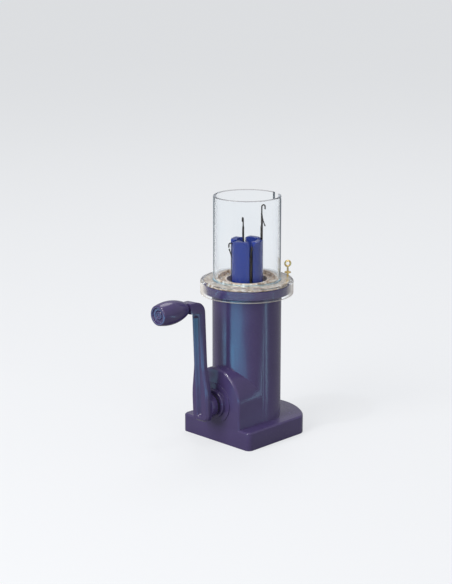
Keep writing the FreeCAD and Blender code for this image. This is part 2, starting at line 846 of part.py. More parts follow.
def needle_blade(butt, pivot):
    """The needle's flat steel in the XZ plane: foot with its butt, stem, and a neck up to the wire."""
    low = butt - butt_height / 2
    high = butt + butt_height / 2
    foot_high = butt + needle_foot_above
    wire = needle_inner + hook_wire_offset
    back = wire - hook_wire_radius
    back_low = pivot - needle_back_below
    neck = pivot + needle_neck_above
    return outline([(needle_inner, butt - needle_foot_below), (needle_foot_outer, butt - needle_foot_below),
                    (needle_foot_outer, low), (needle_butt_outer, low),
                    (needle_butt_outer, high), (needle_foot_outer, high),
                    (needle_foot_outer, foot_high), (needle_outer, foot_high + needle_foot_taper),
                    (needle_outer, pivot + needle_cheek_above), (wire + hook_wire_radius, neck),
                    (back, neck), (back, back_low), (needle_inner, back_low - needle_back_length)])


def needle_hook(pivot, top):
    """The bent wire of the hook in the XZ plane, opening outwards."""
    start = needle_inner + hook_wire_offset - hook_wire_radius
    wire = 2 * hook_wire_radius
    end = start + 2 * hook_bend_radius + wire
    tip = top - hook_bend_radius - hook_tip_length - wire
    around_bend = hook_bend_radius + hook_wire_radius
    in_bend = hook_bend_radius - hook_wire_radius
    return outline([(start, pivot), (start, top, around_bend), (end, top, around_bend),
                    (end, tip, hook_wire_radius), (end - wire, tip, hook_wire_radius),
                    (end - wire, top - wire, in_bend), (start + wire, top - wire, in_bend),
                    (start + wire, pivot)])


def extruded_across(profile, thickness):
    """Flat solid from a wire in the XZ plane, centred on it."""
    face = Part.Face(profile)
    face.translate(Vector(0, -thickness / 2, 0))
    return face.extrude(Vector(0, thickness, 0))


def needle(rise):
    """Latch needle standing on the +X side, its hook turned outwards."""
    butt = butt_low + rise
    top = butt + needle_height
    pivot = top - latch_pivot_drop
    blade = extruded_across(needle_blade(butt, pivot), needle_thickness)
    hook = extruded_across(needle_hook(pivot, top), 2 * hook_wire_radius)
    gap = latch_slot_width / 2
    floor = needle_inner + latch_slot_floor
    reach = latch_slot_half_length
    slot = block(floor, needle_outer + 1, -gap, gap, pivot - reach, pivot + reach)
    return blade.fuse(hook).cut([slot, pin_across(pivot, latch_pin_radius, needle_thickness + 2)])


def pin_across(pivot, radius, length):
    """Cylinder through the latch's pivot, centred on the needle."""
    start = Vector(latch_pivot_radius, -length / 2, pivot)
    return Part.makeCylinder(radius, length, start, Vector(0, 1, 0))


def latch(rise, angle):
    """Latch blade with its eye and its spoon; angle 0 would point straight up."""
    pivot = butt_low + rise + needle_height - latch_pivot_drop
    eye = latch_eye_radius
    half = latch_half_height
    spoon = latch_spoon_radius
    neck = latch_length - latch_spoon_length
    right = [(eye, -eye, eye), (eye, eye / 2, 0), (half, 2 * eye, 0), (half, neck, 0),
             (spoon, neck + latch_spoon_taper, 0), (spoon, latch_length, spoon)]
    left = [(-x, z, rounding) for x, z, rounding in reversed(right)]
    shape = extruded_across(outline(right + left), latch_thickness)
    shape.rotate(centre, Vector(0, 1, 0), angle)
    shape.translate(Vector(latch_pivot_radius, 0, pivot))
    return shape.cut(pin_across(pivot, latch_pin_radius + latch_pin_clearance, needle_thickness))


def latch_pin(rise):
    pivot = butt_low + rise + needle_height - latch_pivot_drop
    return pin_across(pivot, latch_pin_radius, needle_thickness)


os.makedirs("parts", exist_ok=True)
save("housing", housing())
save("bottom_cover", bottom_cover())
save("cover_screws", placed_screws(screw_posts(), screw_length))
save("needle_bed", needle_bed())
bed_screw_length = cover_top + bed_foot_thickness - bed_screw_inset
save("bed_screws", placed_screws(around(bed_screw_circle, bed_screw_count), bed_screw_length))
save("shaft_bush", shaft_bush())
save("thrust_washer", thrust_washer())
save("crank_arm", crank_arm())
save("crank_shaft", crank_shaft())
save("drive_gear", drive_gear())
save("gear_screw", gear_screw())
save("knob_pin", knob_pin())
save("knob", knob())
save("cam_drum", cam_drum())
save("ring_gear", ring_gear())
save("clear_cover", clear_cover())
save("yarn_guide", yarn_guide())
for number, angle in enumerate(needle_angles(), start=1):
    rise = cam_rise(angle)
    latch_angle = latch_open_angle if rise > cam_lift / 4 else latch_closed_angle
    save("needle_%d" % number, turned_to(needle(rise), angle))
    save("latch_%d" % number, turned_to(latch(rise, latch_angle), angle))
    save("latch_pin_%d" % number, turned_to(latch_pin(rise), angle))
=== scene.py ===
import json
import math

import bpy
from mathutils import Matrix, Vector


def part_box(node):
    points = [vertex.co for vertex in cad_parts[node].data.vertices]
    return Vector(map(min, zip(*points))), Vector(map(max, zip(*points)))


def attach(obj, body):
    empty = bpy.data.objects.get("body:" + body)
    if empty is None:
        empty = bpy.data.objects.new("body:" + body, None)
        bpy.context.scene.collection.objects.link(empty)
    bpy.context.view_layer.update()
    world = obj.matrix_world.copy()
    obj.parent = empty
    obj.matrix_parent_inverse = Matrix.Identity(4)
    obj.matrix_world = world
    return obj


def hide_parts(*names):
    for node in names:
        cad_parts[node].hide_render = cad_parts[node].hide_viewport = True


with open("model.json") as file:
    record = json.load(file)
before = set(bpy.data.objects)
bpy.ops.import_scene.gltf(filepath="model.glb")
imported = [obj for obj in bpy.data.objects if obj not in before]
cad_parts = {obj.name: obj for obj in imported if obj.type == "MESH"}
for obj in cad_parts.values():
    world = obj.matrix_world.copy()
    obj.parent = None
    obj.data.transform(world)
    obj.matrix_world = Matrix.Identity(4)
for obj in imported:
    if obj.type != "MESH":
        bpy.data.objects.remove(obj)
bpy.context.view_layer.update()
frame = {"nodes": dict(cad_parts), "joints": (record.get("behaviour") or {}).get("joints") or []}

nodes = frame["nodes"]
mm = 0.001


# The housing: base, arched gear housing, column and flange are one glossy
# indigo moulding of styrene. Its outer edges are rounded by the mould.

class Wire:
    """One output of a shader node, which takes part in sums, products and comparisons."""

    def __init__(self, finish, socket):
        self.finish = finish
        self.socket = socket

    def __add__(self, other):
        return self.finish.math("ADD", self, other)

    def __radd__(self, other):
        return self.finish.math("ADD", other, self)

    def __mul__(self, other):
        return self.finish.math("MULTIPLY", self, other)

    def __rmul__(self, other):
        return self.finish.math("MULTIPLY", other, self)

    def __gt__(self, other):
        return self.finish.math("GREATER_THAN", self, other)

    def __lt__(self, other):
        return self.finish.math("LESS_THAN", self, other)


class Finish:
    """A material of the mill and the nodes behind its colour, gloss and grain."""

    def __init__(self, name, **constants):
        self.material = bpy.data.materials.new(name)
        self.material.use_nodes = True
        self.tree = self.material.node_tree
        self.surface = self.tree.nodes["Principled BSDF"]
        for socket, value in constants.items():
            self.surface.inputs[socket.replace("_", " ")].default_value = value

    def node(self, kind, settings, inputs, output=0):
        made = self.tree.nodes.new(kind)
        for name, value in settings.items():
            if name == "stops":
                for stop, (place, colour) in zip(made.color_ramp.elements, value):
                    stop.position = place
                    stop.color = colour
            else:
                setattr(made, name, value)
        for name, value in inputs.items():
            self.join(value, made.inputs[name])
        return Wire(self, made.outputs[output])

    def join(self, value, socket):
        if isinstance(value, Wire):
            self.tree.links.new(value.socket, socket)
        else:
            socket.default_value = value

    def drive(self, socket, value):
        self.join(value, self.surface.inputs[socket])

    def math(self, operation, first, second):
        return self.node("ShaderNodeMath", {"operation": operation}, {0: first, 1: second})

    def spot(self):
        """Where the shaded point lies on the piece, in metres."""
        return self.node("ShaderNodeTexCoord", {}, {}, "Object")

    def ray(self, kind):
        """1 for a ray of this kind, else 0."""
        return self.node("ShaderNodeLightPath", {}, {}, kind)

    def speckle(self, size, detail=2.0):
        """Even noise from 0 to 1 with spots of about this size in metres."""
        inputs = {"Vector": self.spot(), "Scale": 1 / size, "Detail": detail}
        return self.node("ShaderNodeTexNoise", {}, inputs)

    def blend(self, share, low, high):
        return self.node("ShaderNodeMix", {"data_type": "RGBA"}, {0: share, 6: low, 7: high}, 2)

    def ramp(self, share, low, high):
        """0 below low and 1 above high."""
        black = (0, 0, 0, 1)
        white = (1, 1, 1, 1)
        stops = [(low, black), (high, white)]
        return self.node("ShaderNodeValToRGB", {"stops": stops}, {"Fac": share})

    def relief(self, height, depth):
        inputs = {"Height": height, "Distance": depth, "Strength": 1.0}
        self.drive("Normal", self.node("ShaderNodeBump", {}, inputs))


def moulded_plastic(name, colour, shade, gloss):
    """Injection-moulded plastic: flow clouds, fine haze, dust specks and a soft sink of the surface."""
    finish = Finish(name, IOR=1.5, Specular_IOR_Level=0.5, Coat_Weight=0.2, Coat_Roughness=0.08)
    flow = finish.ramp(finish.speckle(18 * mm, 1.0), 0.35, 0.7)
    haze_and_painted_light = finish.ramp(finish.speckle(1.1 * mm, 4.0), 0.45, 0.75)
    dust = finish.ramp(finish.speckle(0.35 * mm, 1.0), 0.70, 0.76)
    dust_grey = (0.50, 0.50, 0.55, 1)
    tone = finish.blend(flow * 0.55, colour, shade)
    finish.drive("Base Color", finish.blend(dust * 0.10, tone, dust_grey))
    finish.drive("Roughness", gloss + haze_and_painted_light * 0.04 + dust * 0.12)
    sink = finish.speckle(14 * mm, 0.0)
    grain = finish.speckle(0.5 * mm, 2.0)
    finish.relief(sink * 0.9 + grain * 0.004, 0.25 * mm)
    return finish.material


def worn(material, *names):
    """Puts a finish on nodes of the frame that keep their own shape."""
    for name in names:
        nodes[name].data.materials.clear()
        nodes[name].data.materials.append(material)


def alone(piece):
    """Makes a piece the only one selected, in object mode."""
    bpy.ops.object.select_all(action="DESELECT")
    piece.select_set(True)
    bpy.context.view_layer.objects.active = piece


def edge_softened(node, width, body, material, sharper_than=34):
    """A copy of a moulded node whose outer edges are rounded as the mould leaves them."""
    source = nodes[node]
    piece = bpy.data.objects.new(node + "_moulding", source.data.copy())
    bpy.context.scene.collection.objects.link(piece)
    alone(piece)
    bpy.ops.object.mode_set(mode="EDIT")
    bpy.ops.mesh.select_all(action="SELECT")
    bpy.ops.mesh.remove_doubles(threshold=0.002 * mm)
    bpy.ops.mesh.dissolve_limited(angle_limit=math.radians(0.4))
    bpy.ops.object.mode_set(mode="OBJECT")
    soften = piece.modifiers.new("edges", "BEVEL")
    soften.width = width
    soften.segments = 3
    soften.limit_method = "ANGLE"
    soften.angle_limit = math.radians(sharper_than)
    soften.miter_outer = "MITER_ARC"
    bpy.ops.object.modifier_apply(modifier="edges")
    bpy.ops.object.shade_smooth_by_angle(angle=math.radians(32))
    piece.data.materials.clear()
    piece.data.materials.append(material)
    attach(piece, body)
    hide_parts(node)


indigo = (0.066, 0.047, 0.142, 1)
indigo_shade = (0.056, 0.040, 0.121, 1)
housing_plastic = moulded_plastic("indigo_styrene", indigo, indigo_shade, 0.24)
edge_softened("housing", 0.45 * mm, "frame", housing_plastic)


# The bottom cover and the screws: a flat plate of the same plastic under the
# base. Three plated screws hold it, and two more hold the needle bed on it;
# their round heads with cross recesses are sunk in the plate.

cover_plastic = moulded_plastic("indigo_cover_styrene", indigo, indigo_shade, 0.30)
worn(cover_plastic, "bottom_cover")

weld = 0.0005 * mm


def rounded(corners, steps=6):
    """Points of an outline whose corners (radius, height, rounding) are rounded by arcs."""
    points = []
    count = len(corners)
    for i in range(count):
        here = Vector(corners[i][:2])
        rounding = corners[i][2] if len(corners[i]) > 2 else 0
        if not rounding:
            points.append(here)
            continue
        back = (Vector(corners[i - 1][:2]) - here).normalized()
        ahead = (Vector(corners[(i + 1) % count][:2]) - here).normalized()
        half = back.angle(ahead) / 2
        middle = here + (back + ahead).normalized() * (rounding / math.sin(half))
        first = here + back * (rounding / math.tan(half)) - middle
        turn = first.angle_signed(here + ahead * (rounding / math.tan(half)) - middle)
        for step in range(steps + 1):
            arm = first.copy()
            arm.rotate(Matrix.Rotation(-turn * step / steps, 2))
            points.append(middle + arm)
    return points


def outlined(name, points):
    """A new piece that is only a closed line through these points, left selected in edit mode."""
    bpy.ops.object.select_all(action="DESELECT")
    bpy.ops.mesh.primitive_plane_add(size=mm, location=(0, 0, 0))
    piece = bpy.context.object
    piece.name = name
    bpy.ops.object.mode_set(mode="EDIT")
    bpy.ops.mesh.select_all(action="SELECT")
    bpy.ops.mesh.merge(type="CENTER")
    bpy.ops.transform.translate(value=points[0])
    for start, end in zip(points, points[1:] + points[:1]):
        bpy.ops.mesh.extrude_region_move(TRANSFORM_OT_translate={"value": end - start})
    bpy.ops.mesh.select_all(action="SELECT")
    bpy.ops.mesh.remove_doubles(threshold=weld)
    bpy.ops.mesh.select_all(action="SELECT")
    return piece


def turned(name, corners, segments=96):
    """A closed turned piece about the Z axis; corners are in millimetres."""
    piece = outlined(name, [Vector((p.x * mm, 0, p.y * mm)) for p in rounded(corners)])
    bpy.ops.mesh.spin(steps=segments, angle=2 * math.pi, center=(0, 0, 0), axis=(0, 0, 1))
    bpy.ops.mesh.select_all(action="SELECT")
    bpy.ops.mesh.remove_doubles(threshold=weld)
    bpy.ops.mesh.normals_make_consistent(inside=False)
    bpy.ops.object.mode_set(mode="OBJECT")
    bpy.ops.object.shade_smooth_by_angle(angle=math.radians(35))
    return piece


def placed(piece, place, turn):
    """Moves a piece from where it was made to where it belongs, and fixes it there."""
    alone(piece)
    piece.location = place
    piece.rotation_euler = turn
    bpy.ops.object.transform_apply(location=True, rotation=True, scale=True)
    return piece


def finished(piece, material, body, slot, *replaced):
    """Gives a piece its finish, its body and the nodes that it stands for."""
    piece.data.materials.clear()
    piece.data.materials.append(material)
    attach(piece, body)
    if replaced:
        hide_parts(*replaced)


def block(place, sides, turn=0.0):
    """A plain block to cut with; its sides are in millimetres."""
    bpy.ops.object.select_all(action="DESELECT")
    bpy.ops.mesh.primitive_cube_add(size=mm, location=place, rotation=(0, 0, turn), scale=sides)
    return bpy.context.object


def cut_away(piece, cutter):
    """Takes the shape of a cutter out of a piece."""
    alone(piece)
    cut = piece.modifiers.new("cut", "BOOLEAN")
    cut.object = cutter
    cut.operation = "DIFFERENCE"
    bpy.ops.object.modifier_apply(modifier="cut")
    bpy.data.objects.remove(cutter)


def joined(name, pieces):
    """One piece from several that make up the same node."""
    alone(pieces[0])
    for piece in pieces[1:]:
        piece.select_set(True)
    bpy.ops.object.join()
    pieces[0].name = name
    return pieces[0]


def bright_metal(name, colour, gloss, scratch):
    """Plated or polished metal with a fine brushed grain."""
    finish = Finish(name, Metallic=1.0)
    drawn = finish.node("ShaderNodeMapping", {}, {"Vector": finish.spot(), "Scale": (1.0, 1.0, 0.06)})
    inputs = {"Vector": drawn, "Scale": 1 / scratch, "Detail": 3.0}
    lines = finish.node("ShaderNodeTexNoise", {}, inputs)
    stain = finish.ramp(finish.speckle(3 * mm), 0.35, 0.75)
    darker = tuple(part * 0.6 for part in colour[:3]) + (1,)
    finish.drive("Base Color", finish.blend(stain * 0.6, colour, darker))
    finish.drive("Roughness", gloss + lines * 0.22)
    finish.relief(lines, 0.01 * mm)
    return finish.material


screw_head = 2.4
screw_head_height = 1.2
screw_shank = 1.25
screw_point = 0.5
screw_stop = 0.7
cross_length = 2.6
cross_width = 0.5
cross_depth = 0.6


def cross_screw(name, length):
    """A screw standing on its head, with a cross recess in the head."""
    piece = turned(name, [(0, 0), (screw_head, 0, 0.35), (screw_head, screw_head_height, 0.05),
                          (screw_shank, screw_head_height, 0.05), (screw_shank, length - screw_point),
                          (screw_shank - screw_point, length), (0, length)], 48)
    for along, across in ((cross_length, cross_width), (cross_width, cross_length)):
        cut_away(piece, block((0, 0, 0), (along, across, 2 * cross_depth)))
    return piece


screw_metal = bright_metal("plated_steel", (0.56, 0.56, 0.57, 1), 0.22, 0.4 * mm)
low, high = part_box("cover_screws")
side = high.x / mm - screw_head
front = low.y / mm + screw_head
cover_screw_places = [(-side, front), (side, front), (0, high.y / mm - screw_head)]
low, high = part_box("bed_screws")
bed_screw_places = [(screw_head - high.x / mm, 0), (high.x / mm - screw_head, 0)]
for node, places in (("cover_screws", cover_screw_places), ("bed_screws", bed_screw_places)):
    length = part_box(node)[1].z / mm
    screws = []
    for number, (x, y) in enumerate(places):
        one = cross_screw("%s_%d" % (node, number), length)
        screws.append(placed(one, (x * mm, y * mm, 0), (0, 0, number * screw_stop)))
    finished(joined(node + "_set", screws), screw_metal, "frame", "screw_steel", node)


# The needle bed: a blue moulding that stands in the column. Four pillars with
# rounded shoulders rise from it, with a slot for a needle between each two.

bed_blue = (0.014, 0.036, 0.25, 1)
bed_shade = (0.011, 0.029, 0.20, 1)
bed_plastic = moulded_plastic("blue_styrene", bed_blue, bed_shade, 0.14)
edge_softened("needle_bed", 0.35 * mm, "frame", bed_plastic)


# The drive: pale acetal mitre gears that run dry inside the housing, on a
# steel shaft. The flanged bush in the boss and the washer in front of it are
# acetal, coloured near-black as painted shade for the dark gap between the
# hub and the boss.

pale_acetal = moulded_plastic("acetal", (0.66, 0.64, 0.57, 1), (0.60, 0.58, 0.50, 1), 0.35)
worn(pale_acetal, "drive_gear", "ring_gear")
worn(screw_metal, "crank_shaft", "gear_screw")
# Near-black as painted shade: the bush and washer stand for the dark gap between the hub and the boss.
bush_black_painted_shade = (0.030, 0.024, 0.050, 1)
bush_shade = (0.024, 0.019, 0.040, 1)
acetal_painted_shade = moulded_plastic("acetal_painted_shade", bush_black_painted_shade, bush_shade, 0.35)
worn(acetal_painted_shade, "shaft_bush", "thrust_washer")


# The crank arm: moulded with two ribs along its front and a groove between
# them, a round hub at the shaft and a bend at the top that carries the knob.

crank_plastic = moulded_plastic("indigo_crank_styrene", indigo, indigo_shade, 0.22)
edge_softened("crank_arm", 0.55 * mm, "crank", crank_plastic, 30)


# The knob: a barrel turned about its pin, with a rim and a stepped recess at
# its outer end. It is moulded in the same plastic as the arm.

joint_places = {joint["name"]: Vector(joint["pos_m"]) for joint in frame["joints"] if "pos_m" in joint}
knob_centre = joint_places["knob_spin"]
knob_low, knob_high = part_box("knob")
knob_length = (knob_high.y - knob_low.y) / mm
knob_belly = (knob_high.x - knob_low.x) / mm / 2
knob_belly_place = knob_length * 0.62
knob_bore = 2.1
knob_neck = 3.8
knob_neck_edge = 0.5
knob_end = 6.35
knob_rim = 4.9
recess_radius = 4.5
recess_floor = knob_length - 1.1
socket_radius = 3.0
socket_floor = knob_length - 2.7
barrel_steps = 14
knob_swell = knob_belly - knob_neck
knob_bow = (knob_belly_place ** 2 + knob_swell ** 2) / (2 * knob_swell)
knob_corners = [(knob_bore, 0.0), (knob_neck - knob_neck_edge, 0.0, 0.2), (knob_neck, knob_neck_edge, 0.3)]
for step in range(1, barrel_steps):
    along = knob_length * step / barrel_steps
    width = knob_belly - knob_bow + math.sqrt(knob_bow ** 2 - (along - knob_belly_place) ** 2)
    knob_corners.append((width, along))
knob_corners += [(knob_end, knob_length, 0.9), (knob_rim, knob_length, 0.3),
                 (recess_radius, recess_floor, 0.25), (socket_radius, recess_floor, 0.2),
                 (socket_radius, socket_floor), (knob_bore, socket_floor)]
knob = turned("knob_grip", knob_corners)
placed(knob, (knob_centre.x, knob_high.y, knob_centre.z), (math.radians(90), 0, 0))
finished(knob, crank_plastic, "knob_body", "indigo_crank", "knob")


# The knob's pin: pressed into the arm's stub. Its round head with a dimple
# sits in the knob's recess and keeps the knob on.

pin_low, pin_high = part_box("knob_pin")
pin_length = (pin_high.y - pin_low.y) / mm
pin_shank = 2.0
pin_head = 2.7
pin_head_under = pin_length - 1.6
dimple_rim = 1.5
dimple_radius = 1.2
dimple_floor = pin_length - 0.6
pin_corners = [(0, 0), (pin_shank, 0.0, 0.2), (pin_shank, pin_head_under), (pin_head, pin_head_under, 0.1),
               (pin_head, pin_length, 0.5), (dimple_rim, pin_length, 0.25),
               (dimple_radius, dimple_floor, 0.2), (0, dimple_floor)]
knob_pin = turned("knob_pin_turned", pin_corners, 48)
placed(knob_pin, (knob_centre.x, pin_high.y, knob_centre.z), (math.radians(90), 0, 0))
finished(knob_pin, crank_plastic, "crank", "indigo_crank", "knob_pin")


# The cam drum: a beige moulding that turns in the column. Its top disc and
# its two rings show through the clear cover.

def mottled_beige():
    """Beige styrene with coarse cream and brown flecks."""
    finish = Finish("beige_styrene", IOR=1.5, Specular_IOR_Level=0.5)
    beige = (0.80, 0.66, 0.51, 1)
    tan = (0.66, 0.50, 0.37, 1)
    brown = (0.26, 0.15, 0.08, 1)
    cream = (0.96, 0.92, 0.86, 1)
    cloud = finish.ramp(finish.speckle(5 * mm, 2.0), 0.35, 0.68)
    fleck = finish.ramp(finish.speckle(3.0 * mm, 4.0), 0.48, 0.58)
    pale = finish.ramp(finish.speckle(2.2 * mm, 3.0), 0.55, 0.62)
    browned = finish.blend(fleck * 0.85, finish.blend(cloud, beige, tan), brown)
    finish.drive("Base Color", finish.blend(pale * 0.85, browned, cream))
    finish.drive("Roughness", 0.16 + fleck * 0.12)
    finish.relief(fleck * 0.5 + pale * 0.5, 0.05 * mm)
    return finish.material


edge_softened("cam_drum", 0.2 * mm, "rotor", mottled_beige())


# The clear cover: a tall tube on a flat shoulder with a skirt round the
# flange, moulded in clear styrene with a faint blue tint and polished edges.
# Its finish carries painted light: painted glows where its walls are seen
# edge-on, a painted highlight at the skirt's foot, painted shade at the
# tube's rim and a painted reflection at the tube's foot.

cover_low, cover_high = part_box("clear_cover")
skirt_radius = cover_high.x / mm
skirt_bottom = cover_low.z / mm
skirt_inside = skirt_radius - 1.7
disc_top = 101.4
shoulder_bottom = disc_top + 0.02
shoulder_top = 102.6
tube_top = cover_high.z / mm
tube_radius = 21.65
tube_inside = tube_radius - 1.6
notch_angle = math.radians(68.6)
notch_place = 20.8
notch_sides = (6, 7.2, 10)


def clear_styrene():
    """Clear styrene with painted light on it: a painted pale-blue glow on the tube where its wall is seen
    edge-on, a painted cream glow on the skirt's edges with a painted highlight along its foot, a painted dark
    band of shade at the tube's rim and a painted teal reflection at the tube's foot.
    """
    finish = Finish("clear_styrene", IOR=1.22, Transmission_Weight=1.0)
    clear = (0.975, 0.990, 1.0, 1)
    smeared = (0.95, 0.978, 0.995, 1)
    smear = finish.ramp(finish.speckle(9 * mm, 3.0), 0.45, 0.8)
    finish.drive("Base Color", finish.blend(smear * 0.5, clear, smeared))
    finish.drive("Roughness", 0.010 + smear * 0.015)

    height = finish.node("ShaderNodeSeparateXYZ", {}, {0: finish.spot()}, "Z")
    slant = finish.node("ShaderNodeLayerWeight", {}, {"Blend": 0.5}, "Facing")

    # Each layer lays a flat diffuse colour over the clear wall: painted light, not a cloudiness of the
    # plastic.
    def painted_light_layer(share, under, colour):
        haze_and_painted_light = finish.node("ShaderNodeBsdfDiffuse", {}, {"Color": colour})
        return finish.node("ShaderNodeMixShader", {}, {0: share, 1: under, 2: haze_and_painted_light})

    # A painted pale-blue glow on the tube where its wall is seen edge-on, in place of the light the wall
    # catches and refracts.
    edge_on = slant * slant * slant * slant
    tube = height > (shoulder_top + 0.3) * mm
    edge_glow_painted = painted_light_layer(tube * edge_on * 0.5, Wire(finish, finish.surface.outputs[0]), (0.78, 0.88, 0.96, 1))
    # A painted cream glow on the skirt where it is seen edge-on, and a painted highlight line along its foot.
    skirt = height < (disc_top - 0.1) * mm
    foot = height < (skirt_bottom + 0.55) * mm
    cream = skirt * (finish.ramp(slant, 0.45, 0.72) * 0.75 + foot * 0.25)
    skirt_glow_painted = painted_light_layer(cream, edge_glow_painted, (0.86, 0.80, 0.72, 1))
    # A painted dark band of shade on the tube's rim, for the dark surroundings refracted in it.
    lip = height > (tube_top - 0.45) * mm
    rim_shade_painted = painted_light_layer(lip * 0.45, skirt_glow_painted, (0.13, 0.10, 0.10, 1))
    # A painted teal reflection in a band at the tube's foot.
    reflection_band_at_foot = (height > (shoulder_top + 0.08) * mm) * (height < (shoulder_top + 0.75) * mm)
    foot_reflection_painted = painted_light_layer(reflection_band_at_foot * 0.35, rim_shade_painted, (0.20, 0.48, 0.62, 1))

    passing = finish.ray("Is Shadow Ray") + finish.ray("Is Diffuse Ray")
    through = finish.node("ShaderNodeBsdfTransparent", {}, {"Color": (0.93, 0.96, 0.98, 1)})
    mixed = finish.node("ShaderNodeMixShader", {}, {0: passing, 1: foot_reflection_painted, 2: through})
    finish.join(mixed, finish.tree.nodes["Material Output"].inputs["Surface"])
    return finish.material


cover_corners = [(tube_inside, shoulder_bottom), (skirt_inside, shoulder_bottom, 0.5),
                 (skirt_inside, skirt_bottom, 0.4), (skirt_radius, skirt_bottom, 0.6),
                 (skirt_radius, shoulder_top, 1.1), (tube_radius, shoulder_top, 0.7),
                 (tube_radius, tube_top, 0.55), (tube_inside, tube_top, 0.55)]
cover = turned("clear_cup", cover_corners, 128)
notch_centre = Vector((math.cos(notch_angle), math.sin(notch_angle), 0)) * notch_place * mm
notch_centre.z = tube_top * mm
cutter = block(notch_centre, notch_sides, notch_angle)
corner = cutter.modifiers.new("corners", "BEVEL")
corner.width = 1.0 * mm
corner.segments = 4
bpy.ops.object.modifier_apply(modifier="corners")
cut_away(cover, cutter)
bpy.ops.object.shade_smooth_by_angle(angle=math.radians(35))
finished(cover, clear_styrene(), "rotor", "clear_plastic", "clear_cover")


# The yarn guide: turned brass foot with a collar, pressed into the cover's
# shoulder, and a ring of brass wire brazed on top for the yarn to run through.

brass = bright_metal("brass_wire", (0.95, 0.72, 0.32, 1), 0.10, 0.3 * mm)
guide_low, guide_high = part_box("yarn_guide")
guide_angle = math.radians(61.0)
guide_place = Vector((math.cos(guide_angle), math.sin(guide_angle), 0)) * 27.6 * mm
foot = guide_low.z / mm
foot_radius = 0.8
stem_radius = 0.65
stem_top_radius = 0.5
collar_radius = 2.1
collar_low = shoulder_top + 2.0
collar_high = shoulder_top + 2.9
eye_radius = 1.8
eye_wire = 0.6
eye_middle = guide_high.z / mm - eye_radius - eye_wire
eye_low = eye_middle - eye_radius
guide = turned("yarn_guide_foot", [(0, foot), (foot_radius, foot, 0.2), (foot_radius, shoulder_top),
                                   (stem_radius, shoulder_top, 0.3), (stem_radius, collar_low, 0.1),
                                   (collar_radius, collar_low, 0.25), (collar_radius, collar_high, 0.4),
                                   (stem_radius, collar_high, 0.2), (stem_top_radius, eye_low),
                                   (0, eye_low)], 40)
bpy.ops.object.select_all(action="DESELECT")
bpy.ops.mesh.primitive_torus_add(major_radius=eye_radius * mm, minor_radius=eye_wire * mm,
                                 major_segments=48, minor_segments=16,
                                 location=(0, 0, eye_middle * mm), rotation=(math.radians(90), 0, 0))
eye = bpy.context.object
bpy.ops.object.shade_smooth()
placed(eye, eye.location, eye.rotation_euler)
guide = joined("yarn_guide_wire", [guide, eye])
placed(guide, guide_place, (0, 0, guide_angle))
finished(guide, brass, "rotor", "brass_wire", "yarn_guide")


# The needles: stamped from dark steel, with a butt for the cam, a slim stem
# and a round hook. Each carries a latch with a spoon end on a rivet. Their
# near-black colour is partly the steel's own dark tone and partly painted
# reflection of the dark surroundings they mirror.

def stamped(name, corners, thickness, softness):
    """A flat piece cut from sheet in the XZ plane, its edges tumbled soft; corners are in millimetres."""
    half = thickness / 2
    piece = outlined(name, [Vector((p.x * mm, -half * mm, p.y * mm)) for p in rounded(corners)])
    bpy.ops.mesh.edge_face_add()
    bpy.ops.mesh.extrude_region_move(TRANSFORM_OT_translate={"value": (0, thickness * mm, 0)})
    bpy.ops.mesh.select_all(action="SELECT")
    bpy.ops.mesh.normals_make_consistent(inside=False)
    bpy.ops.object.mode_set(mode="OBJECT")
    soften = piece.modifiers.new("edges", "BEVEL")
    soften.width = softness * mm
    soften.segments = 2
    soften.limit_method = "ANGLE"
    soften.angle_limit = math.radians(40)
    bpy.ops.object.modifier_apply(modifier="edges")
    bpy.ops.object.shade_smooth_by_angle(angle=math.radians(35))
    return piece


def bent_hook(name, x, low, bend_height, bend, tip):
    """Round wire that rises at x, bends outwards over the top and ends in a tapered tip."""
    bpy.ops.object.select_all(action="DESELECT")
    bpy.ops.mesh.primitive_circle_add(vertices=16, radius=hook_wire * mm, fill_type="NGON",
                                      location=(0, 0, 0))
    piece = bpy.context.object
    piece.name = name
    bpy.ops.object.mode_set(mode="EDIT")
    bpy.ops.mesh.select_all(action="SELECT")
    bpy.ops.transform.translate(value=(x * mm, 0, low * mm))
    bpy.ops.mesh.extrude_region_move(TRANSFORM_OT_translate={"value": (0, 0, (bend_height - low) * mm)})
    bend_centre = ((x + bend) * mm, 0, bend_height * mm)
    bpy.ops.mesh.spin(steps=16, angle=-math.pi, center=bend_centre, axis=(0, 1, 0))
    for share in (0.7, 0.3):
        bpy.ops.mesh.extrude_region_move(TRANSFORM_OT_translate={"value": (0, 0, -share * tip * mm)})
    tip_centre = ((x + 2 * bend) * mm, 0, (bend_height - tip) * mm)
    bpy.ops.transform.resize(value=(0.45, 0.45, 1), center_override=tip_centre)
    bpy.ops.mesh.select_all(action="SELECT")
    bpy.ops.mesh.normals_make_consistent(inside=False)
    bpy.ops.object.mode_set(mode="OBJECT")
    bpy.ops.object.shade_smooth_by_angle(angle=math.radians(50))
    return piece


# Near-black: the steel's own dark tone together with painted reflection of dark surroundings.
needle_steel = bright_metal("needle_steel", (0.050, 0.043, 0.040, 1), 0.16, 0.3 * mm)
needle_back = 9.0
needle_front = 10.4
needle_foot = 12.4
needle_butt = 12.75
needle_thickness = 1.2
hook_wire = 0.45
hook_place = needle_back + 0.75
hook_bend = 1.1
hook_tip = 1.9
slot_place = needle_back + 1.9
slot_sides = (3.0, 0.5, 6.8)
latch_eye = 0.6
latch_neck = 0.36
latch_tip = 0.3
latch_length = 4.6
latch_thickness = 0.4
spoon_radius = 0.45
spoon_place = 4.75
spoon_shape = (1.0, 0.45, 1.85)
latch_open = math.radians(158.0)
latch_closed = math.radians(19.5)


